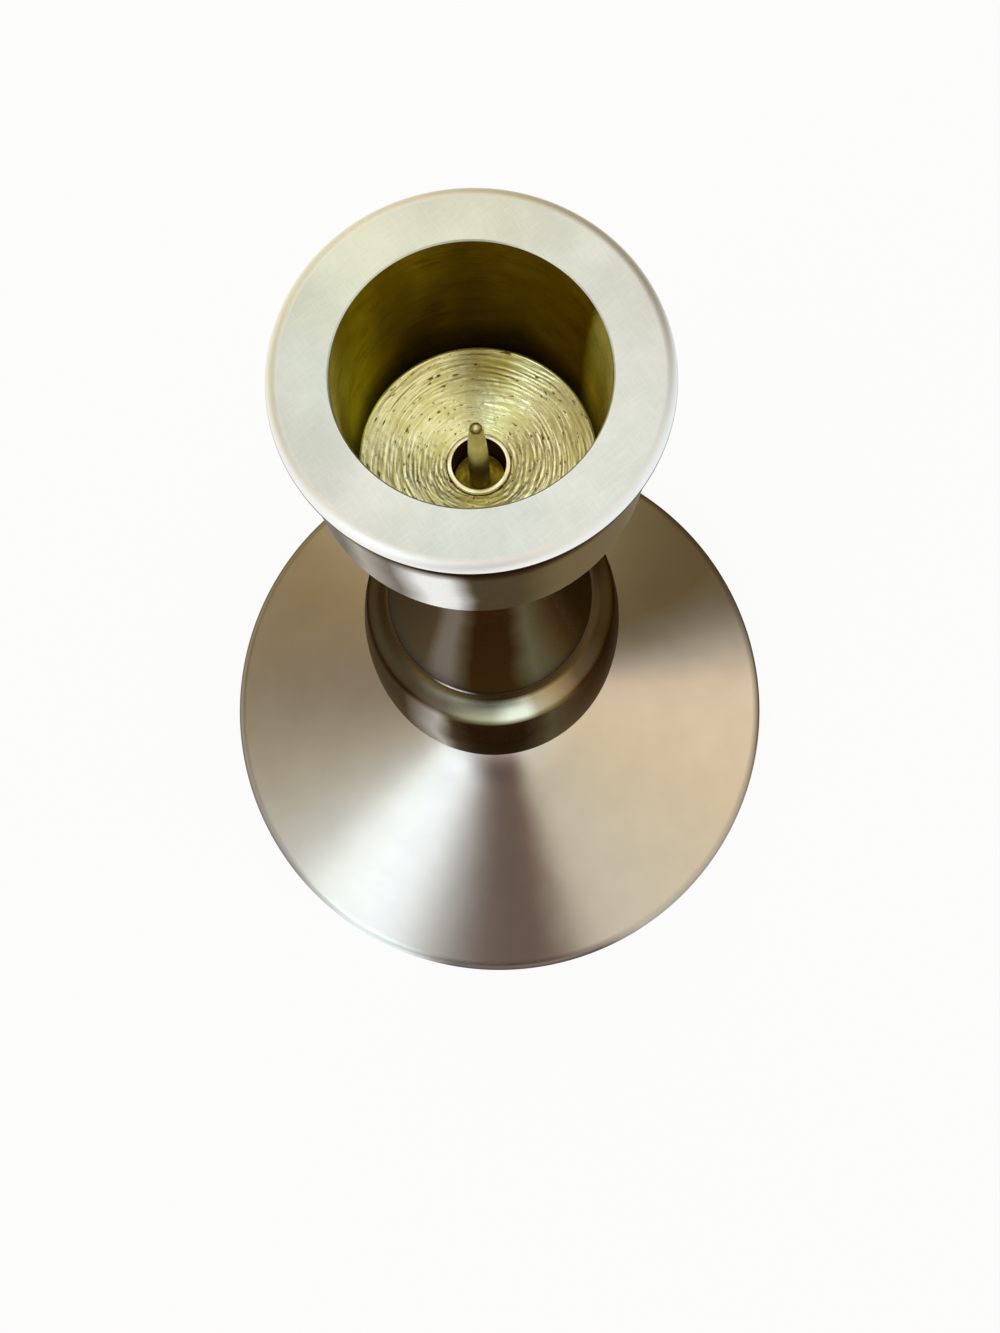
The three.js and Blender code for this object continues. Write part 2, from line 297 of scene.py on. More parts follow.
pale_room()

# %% [markdown]
# ## Satin nickel
# The outside is nickel plate brushed while the piece turned in a lathe, so all its scratches run round the
# axis. Such a surface spreads a highlight across the scratches only, which draws each lamp as a streak from
# the middle to the edge. The shader's anisotropy does that, once its tangent follows the scratches.
# %% Satin nickel


def round_axis(finish):
    """Object coordinates, the distance from the axis, and the direction round the axis."""
    place = finish.add("TexCoord").outputs["Object"]
    split = finish.add("SeparateXYZ")
    finish.link(place, split.inputs[0])
    across = finish.add("VectorMath", operation="MULTIPLY")
    finish.link(place, across.inputs[0])
    across.inputs[1].default_value = (1, 1, 0)
    length = finish.add("VectorMath", operation="LENGTH")
    finish.link(across.outputs[0], length.inputs[0])
    direction = finish.add("VectorMath", operation="NORMALIZE")
    finish.link(across.outputs[0], direction.inputs[0])
    around = finish.add("VectorMath", operation="CROSS_PRODUCT")
    around.inputs[0].default_value = (0, 0, 1)
    finish.link(direction.outputs[0], around.inputs[1])
    return place, split.outputs["Z"], length.outputs["Value"], direction.outputs[0], around.outputs[0]


def lathe_lines(finish, height, distance, direction, lines_per_mm, arc_breaks, detail=3.0):
    """Noise drawn out round the axis, as brushing and turning marks are."""
    split = finish.add("SeparateXYZ")
    finish.link(direction, split.inputs[0])
    place = finish.add("CombineXYZ")
    finish.link(finish.math("MULTIPLY", split.outputs["X"], arc_breaks), place.inputs["X"])
    finish.link(finish.math("MULTIPLY", split.outputs["Y"], arc_breaks), place.inputs["Y"])
    finish.link(finish.math("MULTIPLY", height, lines_per_mm / mm), place.inputs["Z"])
    lines = finish.add("TexNoise", noise_dimensions="4D")
    finish.link(place.outputs[0], lines.inputs["Vector"])
    finish.link(finish.math("MULTIPLY", distance, lines_per_mm / mm), lines.inputs["W"])
    lines.inputs["Scale"].default_value = 1.0
    lines.inputs["Detail"].default_value = detail
    return lines.outputs["Fac"]


def rubbed(finish, place):
    """Short straight scratches, crossing each other, from rubbing a flat face on fine abrasive."""
    marks = []
    for angle in (35, 118):
        strokes = finish.add("Mapping", vector_type="TEXTURE")
        strokes.inputs["Rotation"].default_value = (0, 0, math.radians(angle))
        strokes.inputs["Scale"].default_value = (1.6 * mm, 0.22 * mm, 1.6 * mm)
        finish.link(place, strokes.inputs["Vector"])
        grain = finish.add("TexNoise")
        grain.inputs["Scale"].default_value = 1.0
        grain.inputs["Detail"].default_value = 3.0
        finish.link(strokes.outputs[0], grain.inputs["Vector"])
        marks.append(grain.outputs["Fac"])
    return finish.math("MAXIMUM", *marks)


def painted_light_round(finish, place, direction, painted_tones):
    """Painted light and shade: tones that change with the angle round the axis, counted in degrees from +X towards +Y.
    """
    split = finish.add("SeparateXYZ")
    finish.link(direction, split.inputs[0])
    angle = finish.math("ARCTAN2", split.outputs["Y"], split.outputs["X"])
    waver = finish.add("TexNoise")
    finish.link(place, waver.inputs["Vector"])
    waver.inputs["Scale"].default_value = 60.0
    waver.inputs["Detail"].default_value = 5.0
    around = finish.scale(angle, 0.0, 1.0, -math.pi, math.pi)
    around = finish.math("MULTIPLY_ADD", finish.math("SUBTRACT", waver.outputs["Fac"], 0.5), 0.05, around)
    return finish.ramp(around, *[((angle + 180) / 360, tone) for angle, tone in painted_tones])


def satin_nickel(name, color, edge_tint, roughness, anisotropy, mottling, painted_face_reflections=(), bead_painted_reflections=(), edge=None, painted_reflections=()):
    finish = Finish(name)
    place, height, distance, direction, around = round_axis(finish)
    brushing = lathe_lines(finish, height, distance, direction, 20.0, 14.0)
    clouds = finish.add("TexNoise")
    finish.link(place, clouds.inputs["Vector"])
    clouds.inputs["Scale"].default_value = 160.0
    clouds.inputs["Detail"].default_value = 4.0
    cloud = clouds.outputs["Fac"]
    if painted_face_reflections:
        marks = rubbed(finish, place)
        cloud = finish.math("MULTIPLY_ADD", finish.math("SUBTRACT", marks, 0.55), 0.7, cloud)
        brushing = finish.math("MULTIPLY_ADD", marks, 0.5, finish.math("MULTIPLY", brushing, 0.5))
    darker = tuple(channel * (1 - mottling) for channel in color)
    lighter = tuple(min(1.0, channel * (1 + mottling)) for channel in color)
    tint = finish.ramp(cloud, (0.3, darker), (0.7, lighter))
    # Painted reflections round the axis, on the flat face and on its bead.
    if painted_face_reflections:
        tint = finish.mix(1.0, tint, painted_light_round(finish, place, direction, painted_face_reflections), "MULTIPLY")
        bead = finish.scale(distance, 0.0, 1.0, 14.9 * mm, 15.2 * mm)
        tint = finish.mix(bead, tint, painted_light_round(finish, place, direction, bead_painted_reflections))
        finish.link(finish.mix(bead, edge_tint, (0.85, 0.85, 0.85)), finish.shader.inputs["Specular Tint"])
    # Painted reflections, multiplied into the colour round the axis.
    if painted_reflections:
        tint = finish.mix(1.0, tint, painted_light_round(finish, place, direction, painted_reflections), "MULTIPLY")
    # A painted highlight and painted shade on a rounded edge, set in its colour and its edge tint.
    if edge:
        start, end, edge_painted_light = edge
        painted_edge_mask = finish.scale(distance, 0.0, 1.0, start, end)
        edge_painted_tones = painted_light_round(finish, place, direction, edge_painted_light)
        tint = finish.mix(painted_edge_mask, tint, edge_painted_tones)
        finish.link(finish.mix(painted_edge_mask, edge_tint, edge_painted_tones), finish.shader.inputs["Specular Tint"])
    finish.link(tint, finish.shader.inputs["Base Color"])
    rough = finish.scale(brushing, roughness - 0.025, roughness + 0.025, 0.35, 0.65)
    if painted_face_reflections:
        rough = finish.math("MULTIPLY_ADD", bead, 0.12, rough)
    finish.link(rough, finish.shader.inputs["Roughness"])
    bump = finish.add("Bump")
    bump.inputs["Strength"].default_value = 0.04
    bump.inputs["Distance"].default_value = 0.01 * mm
    finish.link(brushing, bump.inputs["Height"])
    finish.link(bump.outputs[0], finish.shader.inputs["Normal"])
    finish.link(around, finish.shader.inputs["Tangent"])
    finish.shader.inputs["Metallic"].default_value = 1.0
    finish.shader.inputs["Specular Tint"].default_value = (*edge_tint, 1)
    finish.shader.inputs["Anisotropic"].default_value = anisotropy
    finish.shader.inputs["Anisotropic Rotation"].default_value = 0.25
    return finish.material


# Painted highlight and painted shade on the base's rounded edge: a pale line at the front left, darker elsewhere.
base_edge_painted_light = (
    (-168, (0.28, 0.25, 0.20)), (-145, (0.35, 0.33, 0.29)), (-128, (0.9, 0.95, 0.95)), (-114, (0.9, 0.95, 0.95)),
    (-106, (0.20, 0.17, 0.16)), (-72, (0.17, 0.13, 0.11)), (-62, (0.5, 0.46, 0.40)), (-30, (0.40, 0.34, 0.27)),
    (-12, (0.20, 0.15, 0.10)), (30, (0.09, 0.07, 0.04)), (150, (0.22, 0.18, 0.12)), (168, (0.28, 0.25, 0.20)),
)
# Painted reflections on the base: its colour is multiplied by tones that change round the axis.
base_painted_reflections = (
    (-168, (1, 1, 1)), (-140, (1, 1, 1)), (-124, (0.98, 1.0, 1.06)), (-108, (1.08, 1.03, 1.03)),
    (-98, (0.92, 0.76, 0.71)), (-84, (0.82, 0.65, 0.60)), (-74, (1.08, 1.08, 1.08)), (-60, (1, 1, 1)),
    (-36, (1.06, 1.0, 0.90)), (0, (1.25, 1.10, 0.95)), (12, (1.05, 1.0, 0.88)), (24, (0.82, 0.70, 0.42)),
    (48, (0.80, 0.68, 0.42)), (100, (1.0, 0.90, 0.70)), (144, (0.93, 0.84, 0.64)), (168, (1, 1, 1)),
)
base_nickel = satin_nickel(
    "satin_nickel", (0.65, 0.62, 0.58), (0.6, 0.55, 0.5), 0.30, 0.8, 0.03,
    edge=(radius("base") - 1.7 * mm, radius("base") - 0.4 * mm, base_edge_painted_light), painted_reflections=base_painted_reflections,
)
# Painted reflections on the flat rim: whiter at the front, duller and warmer at the back.
rim_painted_reflections = (
    (-168, (0.88, 0.93, 0.90)), (-130, (0.97, 0.98, 0.98)), (-90, (0.96, 1.0, 1.0)), (-20, (0.98, 0.99, 0.98)),
    (40, (0.90, 0.91, 0.86)), (75, (0.86, 0.86, 0.74)), (110, (0.86, 0.86, 0.75)), (130, (0.86, 0.88, 0.76)),
    (155, (0.88, 0.91, 0.83)), (168, (0.88, 0.93, 0.90)),
)
# Painted reflections on the rim's bead, darker at the back right.
bead_painted_reflections = (
    (-168, (1.0, 1.0, 0.98)), (-80, (1.0, 1.0, 1.0)), (-60, (0.92, 0.97, 1.0)), (0, (0.92, 0.97, 1.0)), (28, (0.75, 0.72, 0.66)),
    (60, (0.75, 0.71, 0.60)), (95, (0.88, 0.84, 0.72)), (120, (0.96, 0.94, 0.84)), (160, (1.0, 1.0, 0.94)),
    (168, (1.0, 1.0, 0.98)),
)
rim_nickel = satin_nickel(
    "rim_nickel", (0.75, 0.785, 0.765), (0.5, 0.48, 0.46), 0.36, 0.3, 0.09, rim_painted_reflections, bead_painted_reflections
)
print("nickel finishes:", base_nickel.name, rim_nickel.name)

# %% [markdown]
# The stem and the side of the cup are painted darker than the rest: painted shade. Round the axis their colour
# changes from brown to a pale grey in long soft streaks that cross the brushing: painted reflections. The same
# tones tint the metal seen edge-on, or the steep walls would turn white. On the knop's shoulder lies a painted
# highlight.
# %% Nickel with painted reflections


def painted_reflection_nickel(name, edge_tint, painted_tones, upper_painted_light=(), shoulder_level=0.0, painted_joint=None):
    finish = Finish(name)
    place, height, distance, direction, around = round_axis(finish)
    brushing = lathe_lines(finish, height, distance, direction, 20.0, 14.0)
    # Painted reflections and painted shade round the axis.
    side_tone = tone = painted_light_round(finish, place, direction, painted_tones)
    # A band of painted light at the top: a painted highlight on the knop's shoulder, a painted dark line under the
    # cup's bead.
    if upper_painted_light:
        upper_painted_mask = finish.scale(height, 0.0, 1.0, shoulder_level - 1.6 * mm, shoulder_level + 0.6 * mm)
        tone = finish.mix(upper_painted_mask, tone, painted_light_round(finish, place, direction, upper_painted_light))
    # Painted light at the joint between the neck and the knop.
    if painted_joint:
        start, end, joint_painted_tones = painted_joint
        joint_painted_mask = finish.scale(height, 0.0, 1.0, start, end)
        tone = finish.mix(joint_painted_mask, tone, painted_light_round(finish, place, direction, joint_painted_tones))
    finish.link(tone, finish.shader.inputs["Base Color"])
    steep_tone = finish.mix(1.0, side_tone, tone, "LIGHTEN") if painted_joint else tone
    finish.link(finish.mix(0.85, edge_tint, steep_tone), finish.shader.inputs["Specular Tint"])
    finish.link(finish.scale(brushing, 0.27, 0.33, 0.35, 0.65), finish.shader.inputs["Roughness"])
    bump = finish.add("Bump")
    bump.inputs["Strength"].default_value = 0.05
    bump.inputs["Distance"].default_value = 0.01 * mm
    finish.link(brushing, bump.inputs["Height"])
    finish.link(bump.outputs[0], finish.shader.inputs["Normal"])
    finish.link(around, finish.shader.inputs["Tangent"])
    finish.shader.inputs["Metallic"].default_value = 1.0
    finish.shader.inputs["Anisotropic"].default_value = 0.75
    finish.shader.inputs["Anisotropic Rotation"].default_value = 0.25
    return finish.material


dark, umber, brown = (0.085, 0.055, 0.024), (0.078, 0.047, 0.014), (0.155, 0.132, 0.093)
olive, lilac = (0.185, 0.175, 0.12), (0.27, 0.235, 0.205)


# Painted reflections round the stem: brown and dark painted shade, with a lilac-grey painted highlight at the front
# left.
def stem_painted_reflections(left, right):
    return (
        (-168, brown), (-136, brown), (-127, left), (-119, right), (-112, brown), (-104, dark), (-80, dark),
        (-66, olive), (-42, (0.13, 0.095, 0.05)), (-22, umber), (20, umber), (40, brown), (75, dark), (105, olive),
        (140, dark), (168, brown),
    )


# Painted highlight on the front of the knop's shoulder, with painted shade round the rest.
sage, painted_highlight, copper = (0.36, 0.35, 0.25), (0.92, 1.0, 0.84), (0.36, 0.26, 0.14)
upper_painted_light = (
    (-168, (0.065, 0.048, 0.025)), (-132, (0.065, 0.048, 0.025)), (-116, brown), (-105, sage), (-94, (0.50, 0.53, 0.38)), (-86, painted_highlight),
    (-79, painted_highlight), (-73, (0.50, 0.46, 0.30)), (-60, copper), (-46, (0.12, 0.085, 0.045)), (-25, (0.05, 0.03, 0.01)),
    (60, dark), (168, (0.065, 0.048, 0.025)),
)
stem_tint = (0.6, 0.4, 0.2)
joint_level = high("knop")
# Painted shade round the top of the knop at the crease; on the neck's foot above it, a painted highlight at the front
# left and painted shade elsewhere.
crease_painted_shade = ((-168, dark), (168, dark))
lip_painted_light = (
    (-168, dark), (-127, dark), (-118, (0.66, 0.62, 0.58)), (-110, (0.66, 0.62, 0.58)), (-101, dark), (168, dark),
)
stem_nickel = painted_reflection_nickel("painted_reflection_nickel", stem_tint, stem_painted_reflections(lilac, lilac))
neck_nickel = painted_reflection_nickel(
    "neck_nickel", stem_tint, stem_painted_reflections(lilac, lilac),
    painted_joint=(joint_level + 0.3 * mm, joint_level + 0.12 * mm, lip_painted_light),
)
knop_nickel = painted_reflection_nickel(
    "knop_nickel", stem_tint, stem_painted_reflections((0.36, 0.33, 0.30), (0.58, 0.57, 0.54)), upper_painted_light,
    joint_level - 3.2 * mm, painted_joint=(joint_level - 0.32 * mm, joint_level - 0.14 * mm, crease_painted_shade),
)
bright, pewter, dull = (1.0, 1.0, 0.99), (0.80, 0.75, 0.67), (0.28, 0.265, 0.24)
slate, honey = (0.19, 0.165, 0.12), (0.29, 0.245, 0.17)
# Painted reflections round the cup's side, with a white painted highlight at the front left.
cup_painted_reflections = (
    (-168, dull), (-141, dull), (-132, (0.6, 0.57, 0.53)), (-121, (0.34, 0.32, 0.29)), (-111, bright),
    (-102, bright), (-95, slate), (-80, slate), (-68, honey), (-25, honey), (-5, (0.20, 0.165, 0.11)), (15, (0.20, 0.165, 0.11)), (50, dull), (100, pewter), (140, dull),
    (168, dull),
)
# Painted shade under the cup's bead: a dark line at the front, paler towards the back.
under_bead_painted_light = (
    (-168, dull), (-150, (0.3, 0.27, 0.25)), (-128, (0.2, 0.17, 0.15)), (-105, umber), (-75, umber),
    (-50, (0.17, 0.14, 0.10)), (-30, (0.3, 0.27, 0.22)), (-10, dull), (10, dull), (60, pewter), (120, pewter), (168, dull),
)
cup_nickel = painted_reflection_nickel("cup_nickel", (0.6, 0.5, 0.4), cup_painted_reflections, under_bead_painted_light, high("candle_cup") - 3.9 * mm)
print("toned finishes:", stem_nickel.name, neck_nickel.name, knop_nickel.name, cup_nickel.name)

# %% [markdown]
# ## Outlines and turning
# A turned piece is one closed outline of radius and height, spun round the axis. Corners are given with
# their own small radius, because no real edge is sharp, and a bright line of reflection runs along each.
# Long curves are bends with one control point. The spin makes all the faces, so no face list is needed.
# %% Outline and turning helpers
round_steps = 192
corner_steps = 5


def corner(points, spot, before, after, fillet):
    """Adds a rounded corner at spot, on the way from before to after."""
    here = Vector(spot)
    back = (Vector(before) - here).normalized()
    onward = (Vector(after) - here).normalized()
    half = back.angle(onward) / 2
    reach = fillet / math.tan(half)
    centre = here + (back + onward).normalized() * fillet / math.sin(half)
    for step in range(corner_steps + 1):
        chord = (here + back * reach).lerp(here + onward * reach, step / corner_steps)
        points.append(centre + (chord - centre).normalized() * fillet)


def rounded(corners):
    """A closed outline from (radius, height, fillet) corners."""
    points = []
    for index, (across, up, fillet) in enumerate(corners):
        if fillet:
            corner(points, (across, up), corners[index - 1][:2], corners[(index + 1) % len(corners)][:2], fillet)
        else:
            points.append(Vector((across, up)))
    return points


def bend(start, control, end, steps):
    """Points of a bend from start to end that leans towards control."""
    start, control, end = Vector(start), Vector(control), Vector(end)
    for step in range(steps + 1):
        t = step / steps
        yield start.lerp(control, t).lerp(control.lerp(end, t), t)


def swell(centre, reach, start, end, steps):
    """Points of an elliptic arc, from one angle to the other in degrees."""
    for step in range(steps + 1):
        angle = math.radians(start + (end - start) * step / steps)
        yield Vector((centre[0] + reach[0] * math.cos(angle), centre[1] + reach[1] * math.sin(angle)))


def plain(points):
    """Outline points as corners without a fillet."""
    return [(point.x, point.y, 0) for point in points]


def turned_mesh(outline, steps=round_steps):
    bm = bmesh.new()
    verts = [bm.verts.new((point[0], 0, point[1])) for point in outline]
    pairs = list(zip(verts, verts[1:]))
    if outline[0][0] > 0 or outline[-1][0] > 0:
        pairs.append((verts[-1], verts[0]))
    edges = [bm.edges.new(pair) for pair in pairs]
    bmesh.ops.spin(
        bm, geom=verts + edges, cent=(0, 0, 0), axis=(0, 0, 1), angle=2 * math.pi, steps=steps, use_merge=True
    )
    bmesh.ops.remove_doubles(bm, verts=bm.verts, dist=0.0005 * mm)
    bmesh.ops.recalc_face_normals(bm, faces=bm.faces)
    return bm


def finished(name, bm, material, slot, *nodes, sharp_angle=40):
    """Turns the mesh into a piece of the holder that stands for its measured nodes."""
    mesh = bpy.data.meshes.new(name)
    bm.to_mesh(mesh)
    bm.free()
    mesh.shade_smooth()
    mesh.set_sharp_from_angle(angle=math.radians(sharp_angle))
    mesh.materials.append(material)
    piece = bpy.data.objects.new(name, mesh)
    bpy.context.scene.collection.objects.link(piece)
    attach(piece, "root")
    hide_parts(*nodes)
    print(f"{name}: {sum(len(face.vertices) - 2 for face in mesh.polygons)} triangles")
    return piece


# %% [markdown]
# ## The base
# A wide shallow cone with a rounded edge, hollow underneath for the weight. In the middle a soft curve
# carries it up into the collar that the stem stands on. The cone stays straight, as its straight streaks
# show, so its outline needs two points there and no more.
# %% Base
foot = low("base")
base_radius = radius("base")
base_top = high("base")
base_slope = math.tan(math.radians(13.2))
edge_radius = 1.5 * mm
edge_top = foot + 3.4 * mm
cone_top_radius = 19 * mm
collar_radius = 9.4 * mm
base_wall = 2.5 * mm
base_foot_width = 6.5 * mm
rod_radius = radius("tie_rod")
rod_hole = rod_radius + 0.3 * mm
neck_socket = rod_hole + 2.0 * mm
neck_socket_depth = 4.8 * mm


def cone_height(across):
    return edge_top + (base_radius - edge_radius - across) * base_slope


def base():
    inner_radius = base_radius - base_foot_width
    ceiling_radius = cone_top_radius - base_wall
    ceiling = cone_height(ceiling_radius) - base_wall
    edge = swell((base_radius - edge_radius, edge_top - edge_radius), (edge_radius, edge_radius), 0, 76.8, 10)
    rise = bend(
        (cone_top_radius, cone_height(cone_top_radius)),
        (collar_radius, cone_height(collar_radius)),
        (collar_radius, base_top - 0.4 * mm),
        24,
    )
    corners = [
        (rod_hole, ceiling, 0),
        (ceiling_radius, ceiling, 0.5 * mm),
        (inner_radius, cone_height(inner_radius) - base_wall, 0.4 * mm),
        (inner_radius, foot, 0.2 * mm),
        (base_radius, foot, 0.35 * mm),
        *plain(edge),
        *plain(rise),
        (collar_radius - 0.4 * mm, base_top, 0),
        (neck_socket, base_top, 0.15 * mm),
        (neck_socket, base_top - neck_socket_depth, 0),
        (rod_hole, base_top - neck_socket_depth, 0),
    ]
    return finished("base_cone", turned_mesh(rounded(corners), 256), base_nickel, "satin_nickel", "base")


base()

# %% [markdown]
# ## The necks and the knop
# The upper neck opens like a trumpet and stands on the knop's shoulder, and painted shade with a short painted
# highlight marks the joint.
# The knop is rounded in below and has its widest circle below its middle. The lower neck is a waisted
# column with a bead round its foot.
# %% Upper neck
knop_top = high("knop")
neck_top = high("upper_neck")
neck_top_radius = 5.9 * mm
neck_foot_radius = radius("upper_neck") - 0.45 * mm
spigot_radius = rod_hole + 1.7 * mm
groove = 0.3 * mm
crease_radius = 0.12 * mm
crease_edge = neck_foot_radius + 0.15 * mm


def upper_neck():
    trumpet = list(bend(
        (neck_foot_radius, knop_top),
        (neck_top_radius, (knop_top + neck_top) / 2),
        (neck_top_radius, neck_top - groove),
        60,
    ))
    cup_socket = rod_hole + 1.15 * mm
    corners = [
        (rod_hole, low("upper_neck"), 0),
        (spigot_radius, low("upper_neck"), 0.2 * mm),
        (spigot_radius, knop_top, 0),
        (crease_edge, knop_top, 0),
        (trumpet[0].x, trumpet[0].y + 0.01 * mm, crease_radius),
        *plain(trumpet[2:]),
        (neck_top_radius - groove, neck_top, 0),
        (cup_socket, neck_top, 0.15 * mm),
        (cup_socket, neck_top - 4.8 * mm, 0),
        (rod_hole, neck_top - 4.8 * mm, 0),
    ]
    return finished("upper_neck_turned", turned_mesh(rounded(corners)), neck_nickel, "satin_nickel", "upper_neck")


upper_neck()

# %% Knop
knop_foot = low("knop")
knop_radius = radius("knop")
knop_foot_radius = 9.8 * mm
knop_widest = knop_foot + 22 * mm
knop_shoulder = neck_foot_radius + 0.15 * mm
shoulder_round = Vector((3.1, 3.0)) * mm
shoulder_lean = 0.55 * mm
knop_wall = 2.6 * mm


def knop():
    lower = swell((knop_foot_radius, knop_widest), (knop_radius - knop_foot_radius, knop_widest - knop_foot), -88, 0, 40)
    middle = (knop_widest + knop_top) / 2
    side_top = (knop_shoulder + shoulder_round.x, knop_top - shoulder_round.y)
    upper = bend((knop_radius, knop_widest), (knop_radius, middle), side_top, 40)
    lean = Vector((shoulder_lean, 0))
    shoulder = swell(Vector((knop_shoulder, side_top[1])) - lean, shoulder_round + lean, 9, 80, 20)
    inner_top = knop_top - 4 * mm
    lower_socket = neck_socket + 1.7 * mm
    corners = [
        (lower_socket, knop_foot, 0.15 * mm),
        *plain(lower),
        *plain(upper),
        *plain(shoulder),
        (neck_socket, knop_top, 0.15 * mm),
        (neck_socket, inner_top, 0),
        (knop_shoulder - knop_wall, inner_top, 1.5 * mm),
        (knop_radius - knop_wall, knop_widest, 6 * mm),
        (lower_socket, knop_foot + 4.5 * mm, 0.5 * mm),
    ]
    return finished("knop_turned", turned_mesh(rounded(corners)), knop_nickel, "satin_nickel", "knop")


knop()

# %% Lower neck
waist_radius = 7.2 * mm
bead_middle = 7.8 * mm
bead_radius = 1.6 * mm


def lower_neck():
    bead = swell((bead_middle, base_top + 0.4 * mm + bead_radius), (bead_radius, bead_radius), -90, 90, 24)
    flare = bend(
        (waist_radius, base_top + 4.4 * mm),
        (waist_radius, base_top + 22 * mm),
        (knop_foot_radius, knop_foot - groove),
        48,
    )
    top_spigot = neck_socket + 1.4 * mm
    corners = [
        (rod_hole, low("lower_neck"), 0),
        (spigot_radius, low("lower_neck"), 0.2 * mm),
        (spigot_radius, base_top, 0),
        (8.2 * mm, base_top, 0),
        (8.2 * mm, base_top + 0.4 * mm, 0),
        *plain(bead),
        (waist_radius, base_top + 3.6 * mm, 0.3 * mm),
        *plain(flare),
        (knop_foot_radius - groove, knop_foot, 0),
        (top_spigot, knop_foot, 0),
        (top_spigot, high("lower_neck"), 0.2 * mm),
        (rod_hole, high("lower_neck"), 0),
    ]
    return finished("lower_neck_turned", turned_mesh(rounded(corners)), stem_nickel, "satin_nickel", "lower_neck")


lower_neck()

# %% [markdown]
# ## The candle cup
# The cup is a thick brass turning, plated with nickel and then bored, so the outside is silver and the
# bore is bare brass. Two pieces share it here: the plated body, with its rounded bead and flat rim, and the
# bored lining, which has its own metal.
# %% Cup body
cup_seat = high("upper_neck")
rim = high("candle_cup")
rim_radius = radius("candle_cup")
bore_radius = 11 * mm
bore_skin = 0.25 * mm
rim_bead = Vector((1.0, 0.8)) * mm
bead_line = 0.6 * mm
wall_radius = rim_radius - 0.5 * mm
floor_edge = rim - 21 * mm
floor_middle = floor_edge - 1.8 * mm


def candle_cup():
    collar = 6.3 * mm
    bowl_top = cup_seat + 8.5 * mm
    bowl = swell((collar, bowl_top), (wall_radius - 0.3 * mm - collar, 7.8 * mm), -90, 0, 40)
    bead_start = -math.degrees(math.acos(1 - 0.5 * mm / rim_bead.x))
    bead = list(swell((rim_radius - rim_bead.x, rim - rim_bead.y), rim_bead, bead_start, 90, 40))
    spigot = rod_hole + 0.85 * mm
    lining_radius = bore_radius + bore_skin
    corners = [
        (rod_hole, low("candle_cup"), 0),
        (spigot, low("candle_cup"), 0.15 * mm),
        (spigot, cup_seat, 0),
        (collar - groove, cup_seat, 0),
        (collar, cup_seat + groove, 0),
        *plain(bowl),
        *plain(bead),
        (lining_radius, rim, 0),
        (lining_radius, floor_edge - bore_skin, 0),
        (rod_hole, floor_middle - bore_skin, 0),
    ]
    piece = finished("candle_cup_body", turned_mesh(rounded(corners), 256), cup_nickel, "satin_nickel", "candle_cup")
    piece.data.materials.append(rim_nickel)
    for face in piece.data.polygons:
        face.material_index = 1 if face.center.z > rim - bead_line else 0
    return piece


candle_cup()

# %% [markdown]
# ## Bare brass
# Inside the cup nothing was polished after boring. The wall is fairly smooth; its dark olive colour is painted
# shade, with painted reflections round it, and it turns darker towards the bottom. The floor still has the rings,
# chatter and small pits that the tool left. Its colour swings between pale yellow on the crests and brown in the
# grooves, with painted shade at the back next to the wall.
# %% Bare brass


def bare_brass(
    name, pale, deep, roughness, lines_per_mm, relief, strength, edge_tint=(1, 1, 1), pit=None, painted_tones=None,
    outward=None, darker_below=None
):
    finish = Finish(name)
    place, height, distance, direction, around = round_axis(finish)
    lines = lathe_lines(finish, height, distance, direction, lines_per_mm, 2.5, 5.0)
    stain = finish.add("TexNoise")
    finish.link(place, stain.inputs["Vector"])
    stain.inputs["Scale"].default_value = 450.0
    stain.inputs["Detail"].default_value = 6.0
    blend = finish.math("ADD", finish.math("MULTIPLY", lines, 0.6), finish.math("MULTIPLY", stain.outputs["Fac"], 0.4))
    color = finish.ramp(blend, (0.40, deep), (0.55, pale))
    if pit:
        torn = lathe_lines(finish, height, distance, direction, lines_per_mm * 0.6, 11.0, 2.0)
        mark = finish.scale(torn, 0.0, 1.0, 0.63, 0.69)
        color = finish.mix(mark, color, pit)
        blend = finish.math("SUBTRACT", blend, finish.math("MULTIPLY", mark, 0.25))
    # Painted light round the axis, in the colour and in the edge tint.
    if painted_tones:
        tones = painted_light_round(finish, place, direction, painted_tones)
        if outward:
            tones = finish.mix(finish.scale(distance, 0.0, 1.0, *outward), (1, 1, 1), tones)
        color = finish.mix(1.0, color, tones, "MULTIPLY")
        finish.link(finish.mix(1.0, edge_tint, tones, "MULTIPLY"), finish.shader.inputs["Specular Tint"])
    # Darker towards the bottom of the bore.
    if darker_below:
        darkening_by_height = finish.scale(height, 0.12, 1.0, *darker_below)
        color = finish.mix(darkening_by_height, (0, 0, 0), color)
    finish.link(color, finish.shader.inputs["Base Color"])
    finish.link(finish.scale(blend, roughness + 0.1, roughness - 0.05, 0.35, 0.6), finish.shader.inputs["Roughness"])
    bump = finish.add("Bump")
    bump.inputs["Strength"].default_value = strength
    bump.inputs["Distance"].default_value = relief
    finish.link(blend, bump.inputs["Height"])
    finish.link(bump.outputs[0], finish.shader.inputs["Normal"])
    finish.link(around, finish.shader.inputs["Tangent"])
    finish.shader.inputs["Metallic"].default_value = 1.0
    finish.shader.inputs["Specular Tint"].default_value = (*edge_tint, 1)
    finish.shader.inputs["Anisotropic"].default_value = 0.4
    finish.shader.inputs["Anisotropic Rotation"].default_value = 0.25
    return finish.material


